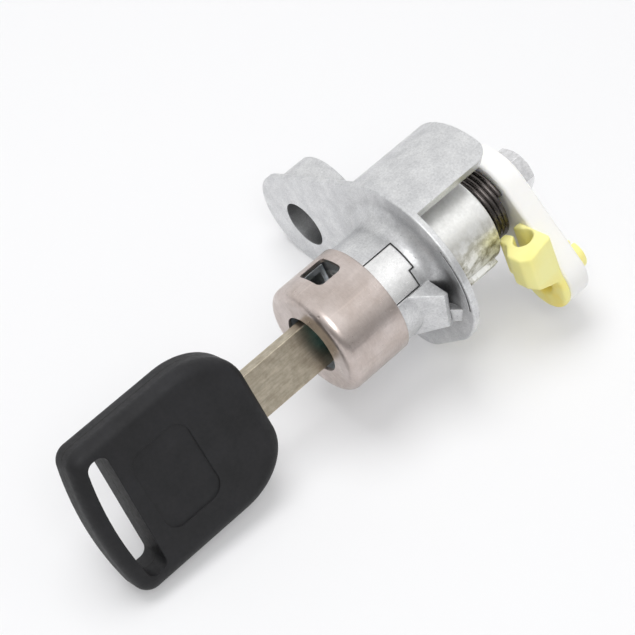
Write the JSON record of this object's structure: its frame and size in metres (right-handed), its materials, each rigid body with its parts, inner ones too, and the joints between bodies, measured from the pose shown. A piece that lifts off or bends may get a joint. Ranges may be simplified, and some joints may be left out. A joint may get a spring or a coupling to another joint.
{
  "type": "trunk lock cylinder",
  "caption": "Car trunk lock cylinder: die-cast body with a mounting ear and shroud, pressed cap, sprung lever with a rod clip, and its black-headed key inserted.",
  "frame": {"origin": "on the lock axis, in the plane of the front face of the flange", "axes": "+Y runs rearwards along the lock axis, away from the key; +Z is the direction the key blade is wide, upwards; +X is to the right seen from the key"},
  "size_m": [0.06, 0.1028, 0.0398],
  "materials": {
    "zinc_casting": "as-cast zinc, fine satin",
    "cap_steel": "brushed stainless, warm tint",
    "plated_sleeve": "bright zinc plate",
    "plate_steel": "bright zinc plate",
    "plug_zinc": "machined zinc",
    "wafer_brass": "stamped brass",
    "spring_steel": "spring wire",
    "black_spring": "black oxide, oiled",
    "shutter_housing": "dark phosphated steel",
    "shutter_blue": "blue-green passivated steel",
    "lever_nylon": "translucent natural nylon",
    "clip_yellow": "pale yellow acetal",
    "bolt_steel": "bright zinc plate",
    "washer_steel": "bright zinc plate",
    "blade_steel": "nickel silver, satin",
    "key_black": "fine-grained black plastic"
  },
  "bodies": {
    "lock": {"lock_body": "zinc_casting", "face_cap": "cap_steel", "stator": "plated_sleeve", "retainer_plate": "plate_steel", "torsion_spring": "black_spring"},
    "plug": {"plug": "plug_zinc", "plug_circlip": "spring_steel", "wafer_springs": "spring_steel", "shutter_housing": "shutter_housing", "shutter_pin": "spring_steel", "dust_shutter": "shutter_blue", "shutter_spring": "spring_steel", "lever": "lever_nylon", "lever_washer": "washer_steel", "lever_bolt": "bolt_steel", "wafer_1": "wafer_brass", "wafer_2": "wafer_brass", "wafer_3": "wafer_brass", "wafer_4": "wafer_brass", "wafer_5": "wafer_brass", "wafer_6": "wafer_brass"},
    "rod_clip": {"rod_clip": "clip_yellow"},
    "key": {"key_blade": "blade_steel", "key_head_front": "key_black", "key_head_back": "key_black"}
  },
  "joints": [
    {"name": "plug_turn", "type": "hinge", "parent": "lock", "child": "plug", "pos_m": [0, 0, 0], "axis": [0, 1, 0], "range_deg": [0, 60], "stiffness_Nm_per_rad": 0.08, "deforming": ["torsion_spring"]},
    {"name": "key_withdraw", "type": "slide", "parent": "plug", "child": "key", "axis": [0, -1, 0], "range_m": [0, 0.03]},
    {"name": "rod_clip_swing", "type": "hinge", "parent": "plug", "child": "rod_clip", "pos_m": [0.00839, 0.0226, -0.0166], "axis": [0, 1, 0], "range_deg": [0, 240]}
  ]
}
